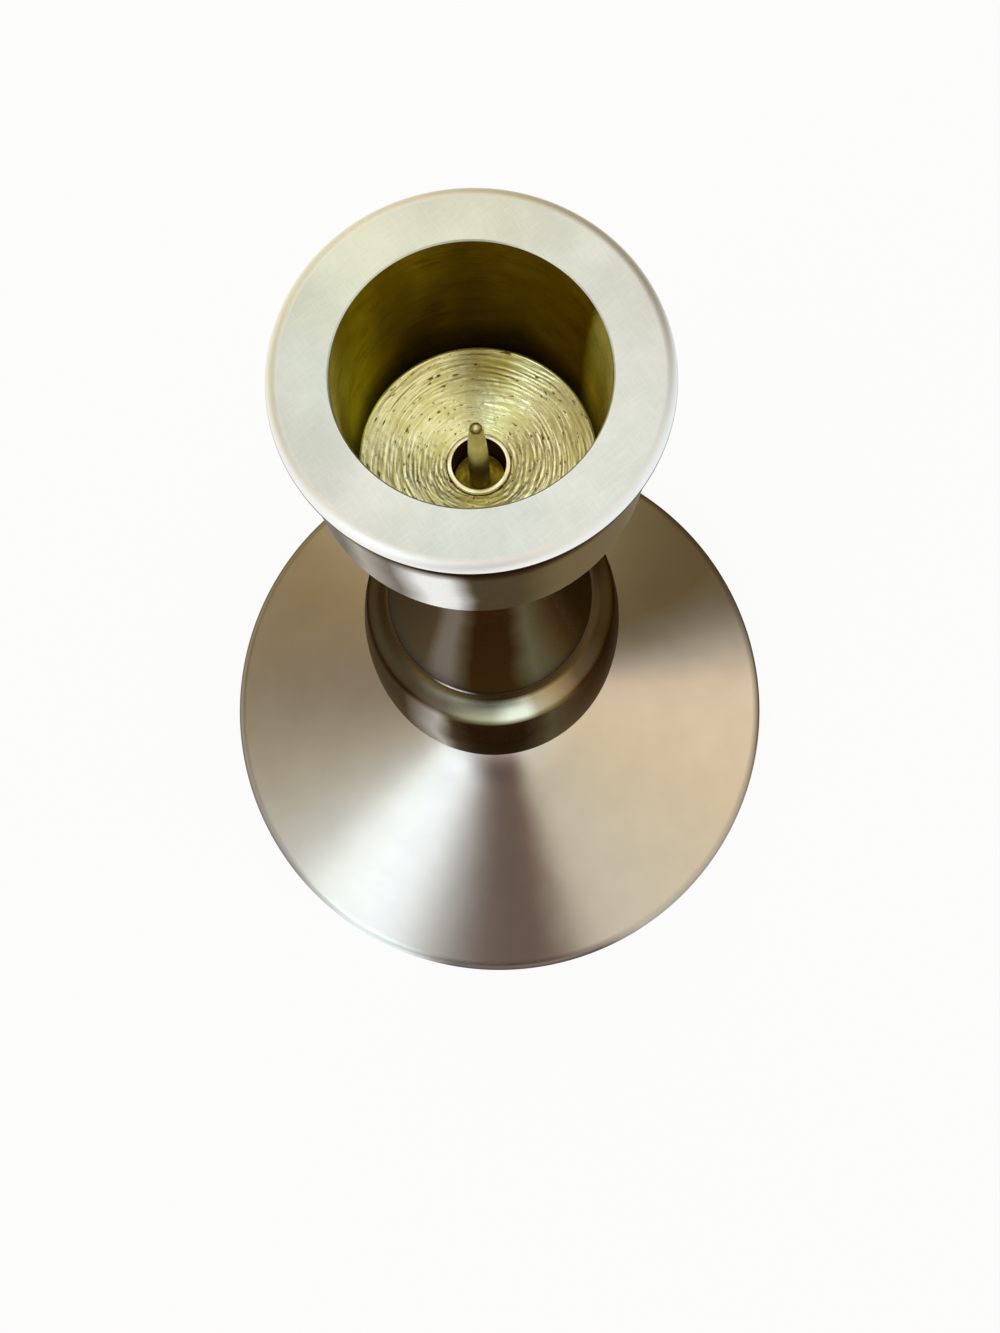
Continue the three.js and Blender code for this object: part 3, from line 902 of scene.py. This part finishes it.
# Painted shade on the socket's floor at the back, next to the wall.
floor_painted_shade = (
    (-168, (1, 1, 1)), (58, (1, 1, 1)), (72, (0.6, 0.5, 0.3)), (88, (0.6, 0.5, 0.3)), (102, (1, 1, 1)), (168, (1, 1, 1)),
)
floor_brass = bare_brass(
    "floor_brass", (1.0, 1.0, 0.62), (0.94, 0.93, 0.40), 0.28, 6.0, 0.058 * mm, 0.4, pit=(0.22, 0.16, 0.04),
    painted_tones=floor_painted_shade, outward=(6 * mm, 8.5 * mm),
)
# Painted reflections round the bore's wall, with a pale green one at the right.
wall_painted_reflections = (
    (-168, (1.4, 1.45, 1.6)), (-140, (1.5, 1.55, 1.7)), (-40, (1, 1, 1)), (-4, (2.4, 2.6, 4.6)), (17, (2.6, 2.8, 4.4)),
    (28, (0.7, 0.6, 0.5)), (60, (0.85, 0.72, 0.7)), (120, (1.1, 0.95, 0.8)), (150, (1, 1, 1)), (168, (1.4, 1.45, 1.6)),
)
wall_brass = bare_brass(
    "wall_brass", (0.24, 0.195, 0.03), (0.20, 0.155, 0.02), 0.2, 5.0, 0.002 * mm, 0.1,
    edge_tint=(0.75, 0.7, 0.4), painted_tones=wall_painted_reflections, darker_below=(high("candle_cup") - 21 * mm, high("candle_cup") - 15 * mm),
)
# The inside of the rod's tube is a darker copy of the brass, its dark colour painted shade.
tube_shade_brass = bare_brass("tube_shade_brass", (0.27, 0.21, 0.02), (0.20, 0.15, 0.01), 0.3, 5.0, 0.002 * mm, 0.1, (0.4, 0.35, 0.2))
rod_brass = bare_brass("rod_brass", (1.0, 0.95, 0.70), (0.92, 0.84, 0.52), 0.26, 6.0, 0.01 * mm, 0.5)
pin_brass = bare_brass("pin_brass", (1.0, 0.95, 0.62), (0.90, 0.82, 0.44), 0.36, 6.0, 0.01 * mm, 0.5)
print("brass finishes:", floor_brass.name, wall_brass.name, tube_shade_brass.name, rod_brass.name, pin_brass.name)

# %% [markdown]
# ## The socket's lining
# The tool rings are deep enough to break the light, so they are real relief and not only shading. The floor is
# spun with many narrow steps, and each point then moves up or down by a ripple that wanders a little
# as it goes round, as a ring does when the tool chatters.
# %% Socket lining
ring_pitch = 0.40 * mm
ring_depth = 0.032 * mm
floor_steps = 180
chatter = 0.35


def floor_height(across):
    share = (across - rod_hole) / (bore_radius - rod_hole)
    return floor_middle + (floor_edge - floor_middle) * share


def ring_relief(spot):
    """How far the tool left the floor above or below its cone at this spot."""
    across = math.hypot(spot.x, spot.y)
    wander = noise.noise(Vector((spot.x, spot.y, 0)) / (4 * mm)) * 1.6
    swing = Vector((spot.x / across * 3, spot.y / across * 3, across / ring_pitch * 1.6 + wander))
    ripple = noise.noise(swing)
    grit = noise.noise(Vector((spot.x, spot.y, 1 * mm)) / (0.45 * mm))
    return ring_depth * ((1 - chatter) * ripple + chatter * grit)


def socket_lining():
    lip = 0.12 * mm
    outer = bore_radius + bore_skin
    first, last = rod_radius + 0.08 * mm, bore_radius - 0.15 * mm
    rings = [first + (last - first) * step / floor_steps for step in range(floor_steps, -1, -1)]
    corners = [
        (outer, floor_edge - bore_skin + 0.02 * mm, 0),
        (outer, rim, 0),
        (bore_radius + lip, rim, 0.05 * mm),
        (bore_radius, rim - lip, 0.05 * mm),
        (bore_radius, floor_edge + 0.1 * mm, 0),
        *[(across, floor_height(across), 0) for across in rings],
        (first, floor_middle - bore_skin + 0.02 * mm, 0),
    ]
    bm = turned_mesh(rounded(corners), 320)
    for vert in bm.verts:
        across = math.hypot(vert.co.x, vert.co.y)
        if first < across < last and vert.co.z > floor_height(across) - 0.1 * mm:
            vert.co.z += ring_relief(vert.co)
    piece = finished("socket_lining", bm, wall_brass, "raw_brass", "candle_cup", sharp_angle=60)
    piece.data.materials.append(floor_brass)
    piece.data.materials.append(rim_nickel)
    for face in piece.data.polygons:
        if face.center.z < floor_edge + 0.05 * mm:
            face.material_index = 1
        elif face.center.z > rim - lip:
            face.material_index = 2
    return piece


socket_lining()

# %% [markdown]
# ## The rod and the pricket pin
# The rod that clamps the stack ends in a short thin tube in the middle of the socket, and the pin that
# spikes the candle stands in it. The rod's lower end is threaded for the nut. A thread is a helix, so each
# point is moved towards the axis by a wave that climbs one pitch in each turn.
# %% Tie rod
rod_low, rod_high = low("tie_rod"), high("tie_rod")
tube_wall = 0.45 * mm
tube_floor = rod_high - 4.5 * mm
pin_hole = 0.9 * mm
thread_pitch = 1.0 * mm
thread_depth = 0.55 * mm
thread_length = 14 * mm
thread_rows = 8


def threaded(bm, start, end, depth):
    """Cuts a helical thread into the skin of a rod between two heights."""
    for vert in bm.verts:
        across = math.hypot(vert.co.x, vert.co.y)
        if across < rod_radius - 0.45 * mm or not start < vert.co.z < end:
            continue
        turn = math.atan2(vert.co.y, vert.co.x) / (2 * math.pi)
        phase = ((vert.co.z - start) / thread_pitch - turn) % 1.0
        run_out = min(1.0, (end - vert.co.z) / thread_pitch, (vert.co.z - start) / thread_pitch)
        cut = depth * abs(2 * phase - 1) * run_out
        vert.co.x *= 1 - cut / across
        vert.co.y *= 1 - cut / across


def tie_rod():
    rows = int(thread_length / thread_pitch * thread_rows)
    skin = [(rod_radius, rod_low + 0.4 * mm + thread_length * row / rows, 0) for row in range(rows + 1)]
    corners = [
        (0, rod_low, 0),
        (rod_radius - 0.4 * mm, rod_low, 0),
        *skin,
        (rod_radius, rod_high, 0.08 * mm),
        (rod_radius - tube_wall, rod_high, 0.06 * mm),
        (rod_radius - tube_wall, tube_floor, 0.2 * mm),
        (pin_hole, tube_floor, 0.1 * mm),
        (pin_hole, tube_floor - 5.1 * mm, 0),
        (0, tube_floor - 5.1 * mm, 0),
    ]
    bm = turned_mesh(rounded(corners), 96)
    threaded(bm, rod_low + 0.4 * mm, rod_low + thread_length, thread_depth)
    piece = finished("tie_rod_threaded", bm, rod_brass, "raw_brass", "tie_rod")
    piece.data.materials.append(tube_shade_brass)
    for face in piece.data.polygons:
        inside = math.hypot(face.center.x, face.center.y) < rod_radius - tube_wall + 0.05 * mm
        face.material_index = 1 if inside and tube_floor - 1 * mm < face.center.z < rod_high - 0.1 * mm else 0
    return piece


tie_rod()

# %% Pricket pin
pin_low, pin_high = low("pricket_pin"), high("pricket_pin")
pin_foot_radius = radius("pricket_pin")
pin_nose = 0.58 * mm


def pricket_pin():
    nose_level = pin_high - pin_nose
    shank = 0.8 * mm
    taper = bend(
        (pin_foot_radius, tube_floor + 0.25 * mm),
        (pin_foot_radius, tube_floor + (nose_level - tube_floor) * 0.75),
        (pin_nose, nose_level),
        40,
    )
    nose = swell((0, nose_level), (pin_nose, pin_nose), 5, 90, 12)
    corners = [
        (0, pin_low, 0),
        (shank, pin_low, 0.2 * mm),
        (shank, tube_floor, 0),
        (pin_foot_radius, tube_floor, 0.1 * mm),
        *plain(taper),
        *plain(nose),
    ]
    outline = rounded(corners)
    outline[-1].x = 0
    return finished("pricket_pin_turned", turned_mesh(outline, 64), pin_brass, "raw_brass", "pricket_pin")


pricket_pin()

# %% [markdown]
# ## Under the base
# These pieces are hidden when the holder stands: a cast-iron weight, two washers and a nut, and the felt
# that covers them. They still get their real finish, since the holder can be turned over or taken apart.
# %% Hidden finishes


def cast_iron():
    finish = Finish("cast_iron")
    place = finish.add("TexCoord").outputs["Object"]
    grain = finish.add("TexNoise")
    finish.link(place, grain.inputs["Vector"])
    grain.inputs["Scale"].default_value = 900.0
    grain.inputs["Detail"].default_value = 8.0
    color = finish.ramp(grain.outputs["Fac"], (0.35, (0.035, 0.034, 0.034)), (0.7, (0.10, 0.095, 0.09)))
    finish.link(color, finish.shader.inputs["Base Color"])
    bump = finish.add("Bump")
    bump.inputs["Strength"].default_value = 0.7
    bump.inputs["Distance"].default_value = 0.25 * mm
    finish.link(grain.outputs["Fac"], bump.inputs["Height"])
    finish.link(bump.outputs[0], finish.shader.inputs["Normal"])
    finish.shader.inputs["Metallic"].default_value = 0.6
    finish.shader.inputs["Roughness"].default_value = 0.68
    return finish.material


def zinc_plate():
    finish = Finish("zinc_plate")
    place = finish.add("TexCoord").outputs["Object"]
    spangle = finish.add("TexVoronoi")
    finish.link(place, spangle.inputs["Vector"])
    spangle.inputs["Scale"].default_value = 1400.0
    color = finish.ramp(spangle.outputs["Distance"], (0.1, (0.66, 0.68, 0.70)), (0.8, (0.50, 0.51, 0.53)))
    finish.link(color, finish.shader.inputs["Base Color"])
    finish.link(finish.scale(spangle.outputs["Distance"], 0.32, 0.46), finish.shader.inputs["Roughness"])
    finish.shader.inputs["Metallic"].default_value = 1.0
    return finish.material


iron = cast_iron()
zinc = zinc_plate()

# %% Weight and washers
weight_edge = radius("base_weight")
weight_top = high("base_weight")
recess_top = high("plain_washer")


def base_weight():
    shoulder = 16.5 * mm
    corners = [
        (rod_hole, recess_top, 0.3 * mm),
        (9.2 * mm, recess_top, 0.6 * mm),
        (9.2 * mm, foot, 0.5 * mm),
        (weight_edge, foot, 0.3 * mm),
        (weight_edge, foot + 1.5 * mm, 0.3 * mm),
        (shoulder, weight_top - 0.6 * mm, 0.2 * mm),
        (shoulder - 1.2 * mm, weight_top, 0.2 * mm),
        (rod_hole, weight_top, 0.3 * mm),
    ]
    return finished("base_weight_cast", turned_mesh(rounded(corners), 128), iron, "weight_iron", "base_weight")


def plain_washer():
    bottom, top, rim_edge = low("plain_washer"), high("plain_washer"), radius("plain_washer")
    corners = [
        (rod_hole, bottom, 0.1 * mm),
        (rim_edge, bottom, 0.25 * mm),
        (rim_edge, top, 0.1 * mm),
        (rod_hole, top, 0.25 * mm),
    ]
    return finished("plain_washer_stamped", turned_mesh(rounded(corners), 96), zinc, "zinc_steel", "plain_washer")


base_weight()
plain_washer()

# %% [markdown]
# A lock washer is a bar wound into one turn of a spring and cut, so it is not spun all the way round. Its
# section is a small rectangle with rounded corners, and the two cut ends are closed by the section itself.
# %% Lock washer
slit_angle = 9.0


def lock_washer():
    bottom, top, rim_edge = low("lock_washer"), high("lock_washer"), 5.2 * mm
    section = rounded([
        (rod_hole, bottom, 0.15 * mm),
        (rim_edge, bottom, 0.15 * mm),
        (rim_edge, top, 0.15 * mm),
        (rod_hole, top, 0.15 * mm),
    ])
    bm = bmesh.new()
    verts = [bm.verts.new((point.x, 0, point.y)) for point in section]
    edges = [bm.edges.new((vert, verts[index - 1])) for index, vert in enumerate(verts)]
    turn = Matrix.Rotation(math.radians(slit_angle / 2), 3, "Z")
    bmesh.ops.rotate(bm, verts=verts, cent=(0, 0, 0), matrix=turn)
    bmesh.ops.spin(
        bm, geom=verts + edges, cent=(0, 0, 0), axis=(0, 0, 1), angle=math.radians(360 - slit_angle), steps=90
    )
    bmesh.ops.holes_fill(bm, edges=[edge for edge in bm.edges if edge.is_boundary])
    bmesh.ops.recalc_face_normals(bm, faces=bm.faces)
    return finished("lock_washer_split", bm, zinc, "zinc_steel", "lock_washer")


lock_washer()

# %% [markdown]
# ## The nut
# A hexagon nut is turned as well as milled: both its faces are cut to a shallow cone, which leaves a curved
# edge on each flat. Loops of 48 points for the bore, the face and the hexagon are bridged, and a point of the
# hexagon sits lower the further it is from the axis. The lower half is the same half turned over.
# %% Hexagon nut
across_flats = 10 * mm
nut_low, nut_high = low("hex_nut"), high("hex_nut")
face_radius = 0.48 * across_flats
cone_angle = math.radians(30)


def loop_of(bm, sides, cuts, size, level):
    """A ring of edges with the same number of points as the others of the nut."""
    ring = bmesh.ops.create_circle(bm, segments=sides, radius=size)["verts"]
    edges = list({edge for vert in ring for edge in vert.link_edges})
    if cuts:
        split = bmesh.ops.subdivide_edges(bm, edges=edges, cuts=cuts)
        edges = [part for part in split["geom_split"] if isinstance(part, bmesh.types.BMEdge)]
    for vert in {vert for edge in edges for vert in edge.verts}:
        vert.co.z = level
    return edges


def nut_half(bm):
    middle = (nut_low + nut_high) / 2
    bore_mouth = rod_radius + 0.35 * mm
    loops = [
        loop_of(bm, 48, 0, rod_radius, middle),
        loop_of(bm, 48, 0, rod_radius, nut_high - 0.35 * mm),
        loop_of(bm, 48, 0, bore_mouth, nut_high),
        loop_of(bm, 48, 0, face_radius, nut_high),
        loop_of(bm, 6, 7, across_flats / math.sqrt(3), nut_high),
        loop_of(bm, 6, 7, across_flats / math.sqrt(3), middle),
    ]
    for vert in {vert for edge in loops[4] for vert in edge.verts}:
        vert.co.z -= (math.hypot(vert.co.x, vert.co.y) - face_radius) * math.tan(cone_angle)
    for inner, outer in zip(loops, loops[1:]):
        bmesh.ops.bridge_loops(bm, edges=inner + outer)


def hex_nut():
    bm = bmesh.new()
    nut_half(bm)
    other = bmesh.ops.duplicate(bm, geom=[*bm.verts, *bm.edges, *bm.faces])["geom"]
    verts = [part for part in other if isinstance(part, bmesh.types.BMVert)]
    over = Matrix.Rotation(math.pi, 3, "X")
    bmesh.ops.rotate(bm, verts=verts, cent=(0, 0, (nut_low + nut_high) / 2), matrix=over)
    bmesh.ops.remove_doubles(bm, verts=bm.verts, dist=0.002 * mm)
    bmesh.ops.recalc_face_normals(bm, faces=bm.faces)
    return finished("hex_nut_milled", bm, zinc, "zinc_steel", "hex_nut", sharp_angle=25)


hex_nut()

# %% [markdown]
# ## The felt
# A disc of wool felt is glued under the base, so that metal never touches the table. Felt is pressed, not
# woven, so it has no threads: its look is a short tangled nap, soft at the edge, with a faint sheen. The disc is
# spun, its skin is roughened inwards only so that it keeps its size, and the nap is left to the shader.
# %% Felt
felt_radius = radius("felt_pad")
felt_top = high("felt_pad")
nap_depth = 0.12 * mm


def wool_felt():
    finish = Finish("wool_felt")
    place = finish.add("TexCoord").outputs["Object"]
    tangle = finish.add("TexNoise")
    finish.link(place, tangle.inputs["Vector"])
    tangle.inputs["Scale"].default_value = 1500.0
    tangle.inputs["Detail"].default_value = 6.0
    tangle.inputs["Distortion"].default_value = 2.5
    tufts = finish.add("TexNoise")
    finish.link(place, tufts.inputs["Vector"])
    tufts.inputs["Scale"].default_value = 220.0
    tufts.inputs["Detail"].default_value = 4.0
    nap = finish.math("MULTIPLY_ADD", tufts.outputs["Fac"], 0.4, finish.math("MULTIPLY", tangle.outputs["Fac"], 0.6))
    color = finish.ramp(nap, (0.36, (0.014, 0.015, 0.016)), (0.52, (0.032, 0.033, 0.035)), (0.64, (0.080, 0.081, 0.084)))
    finish.link(color, finish.shader.inputs["Base Color"])
    bump = finish.add("Bump")
    bump.inputs["Strength"].default_value = 0.9
    bump.inputs["Distance"].default_value = 0.3 * mm
    finish.link(nap, bump.inputs["Height"])
    finish.link(bump.outputs[0], finish.shader.inputs["Normal"])
    finish.shader.inputs["Roughness"].default_value = 0.95
    finish.shader.inputs["Sheen Weight"].default_value = 0.35
    finish.shader.inputs["Sheen Roughness"].default_value = 0.5
    return finish.material


def felt_pad():
    rows = 70
    corners = [
        *[(felt_radius * row / rows, low("felt_pad"), 0) for row in range(rows)],
        (felt_radius, low("felt_pad"), 0.4 * mm),
        (felt_radius, felt_top, 0.4 * mm),
        (0, felt_top, 0),
    ]
    bm = turned_mesh(rounded(corners), 160)
    for vert in bm.verts:
        across = math.hypot(vert.co.x, vert.co.y)
        push = nap_depth * (0.5 + 0.5 * noise.noise(vert.co / (0.9 * mm)))
        if vert.co.z < 0.2 * mm:
            vert.co.z += push
        elif across > felt_radius - 1 * mm:
            vert.co.x *= 1 - push / across
            vert.co.y *= 1 - push / across
    piece = finished("felt_pad_pressed", bm, wool_felt(), "felt", "felt_pad", sharp_angle=80)
    return piece


felt_pad()
